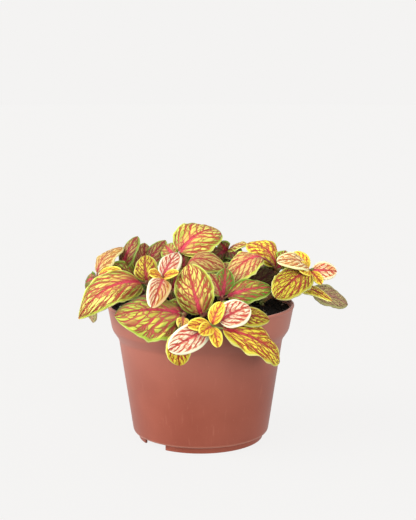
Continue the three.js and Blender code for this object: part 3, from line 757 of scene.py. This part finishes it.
STEM_CLOUDS = {"scale": 90, "range": (0.35, 0.65)}
STEM_PITS = {"scale": 2200, "depth": 0.15}
STEM_ROUGHNESS = 0.55


def attribute_parts(tree, name):
    """The three numbers that each point of the leaf holds under the name."""
    whole = add_node(tree, "Attribute", {}, attribute_name=name)["Vector"]
    return add_node(tree, "SeparateXYZ", {"Vector": whole})


def vein_place(tree):
    """Where a point lies among the veins, as the leaf's attributes say."""
    row, side, number = attribute_parts(tree, "vein")
    share, margin, rib = attribute_parts(tree, "place")
    out = calc(tree, "ABSOLUTE", side)
    own = calc(tree, "MULTIPLY_ADD", number, NEXT_LEAF, calc(tree, "SIGN", side))
    stretched = calc(tree, "MULTIPLY", out, VEIN_WANDER["stretch"])
    place = add_node(tree, "CombineXYZ", {"X": row, "Y": stretched, "Z": own})[0]
    wander = calc(tree, "SUBTRACT", cloud(tree, place, VEIN_WANDER["scale"], 1), 0.5)
    row = calc(tree, "MULTIPLY_ADD", wander, VEIN_WANDER["reach"], row)
    fork = calc(tree, "MULTIPLY", ramp(tree, out, FORK["from"], FORK["to"]), FORK["spread"])
    beside = calc(tree, "PINGPONG", row, 0.5)
    branch = calc(tree, "ABSOLUTE", calc(tree, "SUBTRACT", beside, fork))
    trunk = calc(tree, "MULTIPLY_ADD", out, SIDE_VEIN_THINNING, beside)
    cell = add_node(tree, "CombineXYZ", {
        "X": calc(tree, "MULTIPLY", row, NET_CELLS["along"]),
        "Y": calc(tree, "MULTIPLY", out, NET_CELLS["out"]),
        "Z": own,
    })[0]
    net = add_node(
        tree, "TexVoronoi", {"Vector": cell, "Scale": 1, "Randomness": NET_CELLS["randomness"]},
        feature="DISTANCE_TO_EDGE", voronoi_dimensions="3D",
    )["Distance"]
    return {
        "lateral": calc(tree, "MINIMUM", trunk, branch), "net": net, "place": place,
        "share": share, "out": out, "margin": margin, "rib": rib,
    }


def fade(tree, value, low, high):
    """Smoothly from 1, where the value is low, to 0, where it is high."""
    return calc(tree, "SUBTRACT", 1, ramp(tree, value, low, high))


def near_root(tree, at, along, across):
    """1 at the foot of the midrib, and 0 further along or across than the ends of the ranges."""
    return calc(tree, "MULTIPLY", fade(tree, at["share"], *along), fade(tree, at["out"], *across))


def blade_marks(tree, look):
    """How far a point is in a vein, the rib, the margin and so on, each from 0 to 1."""
    at = vein_place(tree)
    width = look["vein_width"]
    border = look["margin_width"]
    taper = calc(tree, "MULTIPLY_ADD", at["out"], VEIN_TAPER["outwards"], VEIN_TAPER["inside"])
    lateral = calc(tree, "DIVIDE", at["lateral"], taper)
    side_vein = fade(tree, lateral, *[width * edge for edge in SIDE_VEIN_EDGE])
    net = calc(tree, "MULTIPLY", fade(tree, at["net"], *NET_EDGE), look["mesh"])
    ending = ramp(tree, at["margin"], *[border * edge for edge in VEIN_END])
    nearest = calc(tree, "MINIMUM", at["lateral"], calc(tree, "ADD", at["net"], NET_SINK))
    rib_width = look["rib_width"]
    rib_half = calc(tree, "MULTIPLY_ADD", at["share"], -RIB_TAPER * rib_width, rib_width)
    patches = cloud(tree, at["place"], PATCHES["scale"], 3)
    inset = calc(tree, "SUBTRACT", at["margin"], PATCHES["uneven"] / 2)
    uneven = calc(tree, "MULTIPLY_ADD", patches, PATCHES["uneven"], inset)
    outer = calc(
        tree, "MAXIMUM", ramp(tree, at["out"], *GREEN_ACROSS), fade(tree, at["share"], *GREEN_ALONG),
    )
    return {
        "vein": calc(tree, "MULTIPLY", calc(tree, "MAXIMUM", side_vein, net), ending),
        "island_edge": fade(tree, nearest, *[width * edge for edge in ISLAND_EDGE]),
        "rib": fade(tree, calc(tree, "SUBTRACT", at["rib"], rib_half), 0, RIB_EDGE),
        "margin": fade(tree, uneven, *[border * edge for edge in MARGIN_EDGE]),
        "brink": calc(tree, "MULTIPLY", fade(tree, at["margin"], *BRINK_EDGE), look["brink"]),
        "heart": near_root(tree, at, HEART_ALONG, HEART_ACROSS),
        "root": near_root(tree, at, ROOT_ALONG, ROOT_ACROSS),
        "midrib": fade(tree, at["share"], *MIDRIB_ALONG),
        "outer": outer,
        "patches": ramp(tree, patches, *PATCHES["range"]),
        "grain": cloud(tree, at["place"], LEAF_GRAIN["scale"], 2),
    }


def blade_colour(tree, look, marks):
    """The colours of the islands, the veins and the margin, over one another."""
    island, between, heart, lateral, rib, root, margin, tinted = [
        paint(*look[part]) for part in LEAF_COLOURS
    ]
    tint, blush, dull = attribute_parts(tree, "tone")
    green = calc(tree, "MULTIPLY_ADD", marks["outer"], look["green"], tint)
    green = calc(tree, "MULTIPLY", green, marks["patches"])
    green = calc(tree, "MULTIPLY_ADD", tint, TINT_SHARES["plain"], green)
    face = mix(tree, calc(tree, "MULTIPLY", green, TINT_SHARES["island"]), island, tinted)
    face = mix(tree, calc(tree, "MULTIPLY", marks["heart"], look["warmth"]), face, heart)
    colour = mix(tree, marks["island_edge"], face, mix(tree, green, between, tinted))
    colour = tinge(tree, blush, BLUSH_SHARES["island"], colour, BLUSH)
    colour = mix(tree, marks["root"], colour, root)
    line = mix(tree, marks["root"], mix(tree, marks["heart"], lateral, rib), root)
    colour = mix(tree, marks["vein"], colour, line)
    colour = tinge(tree, blush, BLUSH_SHARES["vein"], colour, BLUSH)
    border = mix(tree, calc(tree, "MULTIPLY", tint, TINT_SHARES["margin"]), margin, tinted)
    colour = mix(tree, marks["margin"], colour, mix(tree, marks["brink"], border, paint(*BRINK)))
    middle = mix(tree, marks["root"], mix(tree, marks["midrib"], lateral, rib), root)
    colour = mix(tree, marks["rib"], colour, middle)
    return tinge(tree, dull, DULL_SHARE, colour, DULL)


def leaf_blade(name, look):
    """The upper face of a leaf with one of the looks."""
    material, tree, shader = new_material("leaf_" + name)
    marks = blade_marks(tree, look)
    shade = add_node(tree, "Attribute", {}, attribute_name="shade")["Fac"]
    set_inputs(tree, shader, {
        "Base Color": mix(tree, shade, blade_colour(tree, look, marks), paint(*SHADE)),
        "Roughness": calc(tree, "MULTIPLY_ADD", shade, SHADE_ROUGHNESS, LEAF_ROUGHNESS),
        "Specular IOR Level": LEAF_SPECULAR,
    })
    relief = calc(tree, "MULTIPLY", marks["grain"], LEAF_GRAIN["height"])
    for line in ("vein", "rib"):
        relief = calc(tree, "MULTIPLY_ADD", marks[line], VEIN_HEIGHT, relief)
    bump(tree, shader, relief, LEAF_GRAIN["depth"])
    return material


def leaf_underside():
    """Dull grey-green, with the side veins a little warmer and raised."""
    material, tree, shader = new_material("leaf_underside")
    vein = fade(tree, vein_place(tree)["lateral"], *UNDERSIDE_VEINS["edge"])
    set_inputs(tree, shader, {
        "Base Color": tinge(tree, vein, UNDERSIDE_VEINS["share"], paint(*UNDERSIDE), UNDERSIDE_VEIN),
        "Roughness": UNDERSIDE_ROUGHNESS,
        "Specular IOR Level": UNDERSIDE_SPECULAR,
    })
    bump(tree, shader, vein, UNDERSIDE_VEINS["depth"])
    return material


def stem_skin():
    """Green skin clouded with pink, and finely pitted."""
    material, tree, shader = new_material("stem_skin")
    place = add_node(tree, "TexCoord", {})["Object"]
    clouds = ramp(tree, cloud(tree, place, STEM_CLOUDS["scale"], 3), *STEM_CLOUDS["range"])
    set_inputs(tree, shader, {
        "Base Color": mix(tree, clouds, paint(*STEM_GREEN), paint(*STEM_PINK)),
        "Roughness": STEM_ROUGHNESS,
    })
    bump(tree, shader, cloud(tree, place, STEM_PITS["scale"], 2), STEM_PITS["depth"])
    return material


FINISHES = [leaf_blade(name, look) for name, look in LEAF_LOOKS.items()]
FINISHES += [leaf_underside(), stem_skin()]
LOOK_SLOT = {name: index for index, name in enumerate(LEAF_LOOKS)}
UNDERSIDE_SLOT = len(LEAF_LOOKS)
STEM_SLOT = UNDERSIDE_SLOT + 1


# The leafy stems
# Each is one piece: a round stem that stands straight in the soil and swells at its joints,
# leaves on short stalks that run on under the blade as its midrib, a closed bud, and fine hairs.
LEAVES_AT_MOST = 10
BLADE_ATTRIBUTES = ("vein", "place", "tone")
BLADE_THICKNESS = 0.8
MARGIN_THICKNESS = 0.5
PETIOLE_WIDTH = 1.3
WAVES_PER_BLADE = 1.6
WAVE_PHASE = {"leaf": 1.7, "shoot": 0.9, "side": 1.9}
TWIST_PIVOT = 0.3
VEIN_ROWS = {"least": 3, "per_mm": 0.075, "offset": 0.4}
VEIN_LEAN = {"reach": 0.52, "bend": 1.15}
ROW_WANDER = {"along": 3, "across": 2, "layer": 1.7, "reach": 0.25}
QUILTING = {"height": 0.4, "full_width": 16, "end": 1.1}
RIPPLES = {"height": 0.035, "per_row": 0.62}
BLADE_ROWS = {"per_mm": 1, "least": 12}
BLADE_COLUMNS = {"per_mm": 0.9, "least": 4}
DARKEST = 0.95
MERGE_WITHIN = 0.01
STALK_SIDES = 8
STALK = {"radius": 0.62, "taper": 0.72, "full_width": 12, "step": 2.5, "least_steps": 8}
MIDRIB_END = 0.93
MIDRIB_SINK = {"depth": 0.55, "slope": 8}
STEM_RADIUS = 1.2
STEM_FOOT = 74
STEM_STRAIGHT = 86
STEM_SIDES = 10
STEM_STEPS = 6
STEM_JOINT = {"waist": 0.92, "swelling": 0.28, "length": 1.6}
BARE_STEPS = 14
HAIRS = {"per_step": 9, "length": 0.9, "root": 0.06, "tip": 0.015, "lean": 0.3, "sink": 0.1}
HAIR_SEED = 11
BUD_SIZE = (1.1, 0.8, 2.1)
BUD_RISE = 1.3


def smooth_path(points, steps):
    """Points on a smooth curve through the given ones, with as many steps in each span."""
    ends = [points[0] * 2 - points[1], *points, points[-1] * 2 - points[-2]]
    path = []
    for before, first, second, after in zip(ends, ends[1:], ends[2:], ends[3:]):
        for step in range(steps):
            t = step / steps
            path.append(0.5 * (
                2 * first + (second - before) * t
                + (2 * before - 5 * first + 4 * second - after) * t**2
                + (3 * first - before - 3 * second + after) * t**3
            ))
    return [*path, points[-1]]


def turn_outwards(model, faces):
    """Makes the faces of one shell agree, and point away from its middle."""
    bmesh.ops.recalc_face_normals(model, faces=faces)
    middle = sum((face.calc_center_median() for face in faces), Vector()) / len(faces)
    outwards = 0
    for face in faces:
        face.normal_update()
        outwards += face.normal.dot(face.calc_center_median() - middle) * face.calc_area()
    if outwards < 0:
        bmesh.ops.reverse_faces(model, faces=faces)


def add_stalk(model, path, radii, sides, finish):
    """A round stalk along the path, closed at both ends."""
    ring = bmesh.ops.create_circle(model, cap_ends=True, radius=1, segments=sides)["verts"]
    cap = ring[0].link_faces[0]
    faces = [cap]
    place = Matrix.Identity(4)
    heading = Vector((0, 0, 1))
    turn = Matrix.Identity(4)
    for index, (point, radius) in enumerate(zip(path, radii)):
        ahead = path[min(index + 1, len(path) - 1)] - path[max(index - 1, 0)]
        turn = heading.rotation_difference(ahead).to_matrix().to_4x4() @ turn
        heading = ahead
        stand = Matrix.Translation(point) @ turn @ Matrix.Diagonal((radius, radius, radius, 1))
        if index:
            end = [cap, *cap.edges, *cap.verts]
            grown = bmesh.ops.extrude_face_region(model, geom=end)["geom"]
            ring = [item for item in grown if isinstance(item, bmesh.types.BMVert)]
            cap = next(item for item in grown if isinstance(item, bmesh.types.BMFace))
        bmesh.ops.transform(model, matrix=stand @ place.inverted(), verts=ring)
        place = stand
        faces.extend(face for vert in ring for face in vert.link_faces)
    shell = [face for face in dict.fromkeys(faces) if face.is_valid]
    turn_outwards(model, shell)
    for face in shell:
        face.material_index = finish


def blade_outline(s, base, point):
    """The blade's width at a share s of its length, as a share of its widest."""
    widest = base / (base + point)
    return (s / widest) ** base * ((1 - s) / (1 - widest)) ** point


class LeafForm:
    """The curved surface of one leaf that grows from a point of its stem."""

    def __init__(self, form, base, phase, number):
        self.form = form
        self.base = base
        self.tip = form["tip"]
        self.phase = phase
        self.number = number
        chord = self.tip - base
        self.length = chord.length
        along = chord.normalized()
        up = (form["face"] - along * along.dot(form["face"])).normalized()
        self.side = along.cross(up)
        self.top = (base + self.tip) / 2 + up * form["arch"] * self.length * 2

    def midrib(self, u):
        return self.base * (1 - u) ** 2 + self.top * 2 * u * (1 - u) + self.tip * u**2

    def directions(self, u):
        """Across the blade and out of its upper face, at share u of the midrib."""
        tangent = ((self.top - self.base) * (1 - u) + (self.tip - self.top) * u).normalized()
        normal = self.side.cross(tangent)
        twist = math.radians(self.form["twist"]) * (self.blade_share(u) - TWIST_PIVOT)
        across = self.side * math.cos(twist) + normal * math.sin(twist)
        return across, normal * math.cos(twist) - self.side * math.sin(twist)

    def blade_share(self, u):
        return max(0.0, (u - self.form["petiole"]) / (1 - self.form["petiole"]))

    def vein_row(self, s, t):
        """How many side veins lie before a point of the blade: a whole number is on a vein."""
        spot = (ROW_WANDER["along"] * s + self.number, ROW_WANDER["across"] * t, ROW_WANDER["layer"])
        rows = VEIN_ROWS["least"] + VEIN_ROWS["per_mm"] * self.length
        lean = VEIN_LEAN["reach"] * abs(t) ** VEIN_LEAN["bend"]
        offset = VEIN_ROWS["offset"] if t < 0 else 0
        return rows * (s - lean) + offset + ROW_WANDER["reach"] * noise.noise(spot)

    def point(self, s, t, layer):
        """A point of the upper face, layer 1, or the underside, layer -1, and the half width there."""
        form = self.form
        u = form["petiole"] + (1 - form["petiole"]) * s
        across, out = self.directions(u)
        # The two halves of the blade meet in one point at its tip.
        spread = abs(t) if s < 1 else 0
        row = self.vein_row(s, t)
        half = form["width"] / 2 * blade_outline(s, form["base"], form["point"]) if 0 < s < 1 else 0
        half *= 1 - form["scallops"] * math.cos(math.tau * row * form["lobes"])
        if s < 1:
            half = max(half, PETIOLE_WIDTH / 2)
        phase = self.phase + (WAVE_PHASE["side"] if t < 0 else 0)
        ripple = math.sin(math.tau * WAVES_PER_BLADE * s + phase)
        rise = form["fold"] * spread - form["curl"] * spread**2 + form["wave"] * spread**3 * ripple
        if form["scallops"]:
            ripple = math.sin(math.tau * row * RIPPLES["per_row"] + self.phase)
            rise += RIPPLES["height"] * spread**4 * ripple
        body = (1 - (2 * s - 1) ** 4) * math.sin(math.pi * min(1, spread * QUILTING["end"]))
        plump = QUILTING["height"] * min(1, form["width"] / QUILTING["full_width"])
        thickness = BLADE_THICKNESS + (MARGIN_THICKNESS - BLADE_THICKNESS) * spread**2
        lift = layer * thickness / 2 - plump * body * math.cos(math.tau * row)
        return self.midrib(u) + across * half * t + out * (half * rise + lift), half


def faces_of(verts):
    return list(dict.fromkeys(face for vert in verts for face in vert.link_faces))


def add_blade(model, shape):
    """The blade as a closed sheet: a flat sheet of shares s and t, thickened, laid on its form."""
    form = shape.form
    rows = max(BLADE_ROWS["least"], round(shape.length * BLADE_ROWS["per_mm"]))
    columns = 2 * max(BLADE_COLUMNS["least"], round(form["width"] * BLADE_COLUMNS["per_mm"] / 2))
    vein, place, tone = [model.verts.layers.float_vector[name] for name in BLADE_ATTRIBUTES]
    shade = model.verts.layers.float["shade"]
    sheet = bmesh.ops.create_grid(model, x_segments=rows, y_segments=columns, size=1)["verts"]
    shell = bmesh.ops.solidify(model, geom=faces_of(sheet), thickness=1)["geom"]
    shell = [item for item in shell if isinstance(item, bmesh.types.BMVert)]
    verts = list(dict.fromkeys([*sheet, *shell]))
    middle = sum(vert.co.z for vert in verts) / len(verts)
    for vert in verts:
        s = (1 - math.cos(math.pi * (vert.co.x + 1) / 2)) / 2
        t = vert.co.y
        layer = 1 if vert.co.z > middle else -1
        vert.co, half = shape.point(s, t, layer)
        vert[vein] = (shape.vein_row(s, t), t, shape.number)
        vert[place] = (s, (1 - abs(t)) * half, abs(t) * half)
        vert[tone] = (form["tint"] + form["tint_side"] * t, form["blush"], form["dull"])
        vert[shade] = min(DARKEST, form["shade"] + form["shade_side"] * max(0, t) ** 3)
        vert.tag = layer < 0
    for face in faces_of(verts):
        under = all(vert.tag for vert in face.verts)
        face.material_index = UNDERSIDE_SLOT if under else LOOK_SLOT[form["look"]]
    bmesh.ops.remove_doubles(model, verts=verts, dist=MERGE_WITHIN)
    turn_outwards(model, faces_of([vert for vert in verts if vert.is_valid]))


def add_petiole(model, shape):
    """The leaf's stalk, and the raised midrib that it runs on as under the blade."""
    path = []
    radii = []
    radius = STALK["radius"] * min(1, shape.form["width"] / STALK["full_width"])
    depth = MIDRIB_SINK["depth"] * BLADE_THICKNESS
    steps = max(STALK["least_steps"], round(shape.length / STALK["step"]))
    for index in range(steps + 1):
        u = MIDRIB_END * index / steps
        s = shape.blade_share(u)
        out = shape.directions(u)[1]
        path.append(shape.midrib(u) - out * depth * min(1, s * MIDRIB_SINK["slope"]))
        radii.append(radius * (1 - STALK["taper"] * s))
    add_stalk(model, path, radii, STALK_SIDES, STEM_SLOT)


def turn_to(heading):
    return Vector((0, 0, 1)).rotation_difference(heading).to_matrix().to_4x4()


def add_hair(model, at, along, draw):
    """One stiff hair that leans along the stem."""
    out = along.cross(Vector((draw.spread(), draw.spread(), draw.spread()))).normalized()
    lean = (out + HAIRS["lean"] * along).normalized()
    middle = at + lean * (STEM_RADIUS + HAIRS["length"] / 2 - HAIRS["sink"])
    hair = bmesh.ops.create_cone(
        model, cap_ends=True, segments=3, radius1=HAIRS["root"], radius2=HAIRS["tip"],
        depth=HAIRS["length"], matrix=Matrix.Translation(middle) @ turn_to(lean),
    )
    for face in faces_of(hair["verts"]):
        face.material_index = STEM_SLOT


def add_stem(model, points, draw):
    """The stem from its foot in the soil to its tip, swollen at its joints, with its hairs."""
    root = points[0]
    heights = (STEM_FOOT, (STEM_FOOT + STEM_STRAIGHT) / 2, STEM_STRAIGHT)
    feet = [Vector((root.x, root.y, height)) for height in heights]
    path = smooth_path([*feet, *points], STEM_STEPS)
    radii = []
    for point in path:
        nearest = min((point - joint).length for joint in points[1:])
        swelling = STEM_JOINT["swelling"] * math.exp(-((nearest / STEM_JOINT["length"]) ** 2))
        radii.append(STEM_RADIUS * (STEM_JOINT["waist"] + swelling))
    add_stalk(model, path, radii, STEM_SIDES, STEM_SLOT)
    for first, second in zip(path[BARE_STEPS:], path[BARE_STEPS + 1:]):
        for _ in range(HAIRS["per_step"]):
            at = first.lerp(second, draw.between(0, 1))
            add_hair(model, at, (second - first).normalized(), draw)


def add_bud(model, points):
    """The closed pair of leaves that the stem ends in."""
    heading = (points[-1] - points[-2]).normalized()
    middle = Matrix.Translation(points[-1] + heading * BUD_RISE)
    stand = middle @ turn_to(heading) @ Matrix.Diagonal((*BUD_SIZE, 1))
    bud = bmesh.ops.create_uvsphere(model, u_segments=12, v_segments=8, radius=1, matrix=stand)
    for face in faces_of(bud["verts"]):
        face.material_index = STEM_SLOT


def leafy_stem(each, shoot_index, draw):
    """One stem with its hairs, its bud and all its leaves."""
    plant = bmesh.new()
    for attribute in BLADE_ATTRIBUTES:
        plant.verts.layers.float_vector.new(attribute)
    plant.verts.layers.float.new("shade")
    add_stem(plant, each["stem"], draw)
    add_bud(plant, each["stem"])
    for leaf_index, form in enumerate(each["leaves"]):
        phase = WAVE_PHASE["leaf"] * leaf_index + WAVE_PHASE["shoot"] * shoot_index
        number = LEAVES_AT_MOST * shoot_index + leaf_index
        shape = LeafForm(form, each["stem"][form["node"]], phase, number)
        add_blade(plant, shape)
        add_petiole(plant, shape)
    return plant


hair_draw = Draw(HAIR_SEED)
for shoot_index, each in enumerate(SHOOTS):
    name = each["name"].replace("shoot", "leafy_stem")
    plant = finished_piece(leafy_stem(each, shoot_index, hair_draw), name, FINISHES)
    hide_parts(each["name"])


# The setting
# A pale table under an even sky, with a broad soft lamp from the upper left and a weaker one from
# the front right. The camera stands a little above the rim, as for the photograph.
BACKDROP = (244, 243, 242)
TABLE_GLOW = 0.955
TABLE_BOUNCE = 0.45
TABLE_COLOURS = ((50, 50, 49), (53, 53, 52))
TABLE_CLOUDS = 6
TABLE_ROUGHNESS = 0.9
TABLE_RADIUS = 12
CAMERA_PLACE = (0.0047, -0.702, 0.2268)
CAMERA_TILT = 81
CAMERA_LENS = 76.7
SENSOR_WIDTH = 36
LAMPS = {
    "soft_lamp": {"power": 3.9, "spread": 70, "heading": (66, 0, -72)},
    "fill_lamp": {"power": 2.2, "spread": 60, "heading": (86, 0, 34)},
}
SKY_POWER = 0.85


def table_top():
    """An even pale surface that keeps only a soft trace of shadow."""
    material, tree, shader = new_material("table_top")
    place = add_node(tree, "TexCoord", {})["Object"]
    first, second = [paint(*colour) for colour in TABLE_COLOURS]
    seen = add_node(tree, "LightPath", {})["Is Camera Ray"]
    set_inputs(tree, shader, {
        "Base Color": mix(tree, cloud(tree, place, TABLE_CLOUDS, 2), first, second),
        "Roughness": TABLE_ROUGHNESS,
        "Specular IOR Level": 0,
        "Emission Color": paint(*BACKDROP),
        "Emission Strength": calc(tree, "MULTIPLY_ADD", seen, TABLE_GLOW - TABLE_BOUNCE, TABLE_BOUNCE),
    })
    return material


table_disc = bmesh.new()
bmesh.ops.create_circle(table_disc, cap_ends=True, radius=TABLE_RADIUS, segments=96)
table_mesh = bpy.data.meshes.new("table")
table_disc.to_mesh(table_mesh)
table_disc.free()
table_mesh.materials.append(table_top())
add_object("table", table_mesh)

sky = bpy.data.worlds.new("studio")
sky.use_nodes = True
seen = add_node(sky.node_tree, "LightPath", {})["Is Camera Ray"]
set_inputs(sky.node_tree, sky.node_tree.nodes["Background"], {
    "Color": paint(*BACKDROP),
    "Strength": calc(sky.node_tree, "MULTIPLY_ADD", seen, 1 - SKY_POWER, SKY_POWER),
})
bpy.context.scene.world = sky
bpy.context.scene.view_settings.view_transform = "Standard"

for name, setting in LAMPS.items():
    light = bpy.data.lights.new(name, "SUN")
    light.energy = setting["power"]
    light.angle = math.radians(setting["spread"])
    lamp = add_object(name, light)
    lamp.rotation_euler = [math.radians(angle) for angle in setting["heading"]]

lens = bpy.data.cameras.new("camera")
lens.lens = CAMERA_LENS
lens.sensor_width = SENSOR_WIDTH
camera = add_object("camera", lens)
camera.location = CAMERA_PLACE
camera.rotation_euler = (math.radians(CAMERA_TILT), 0, 0)
bpy.context.scene.camera = camera
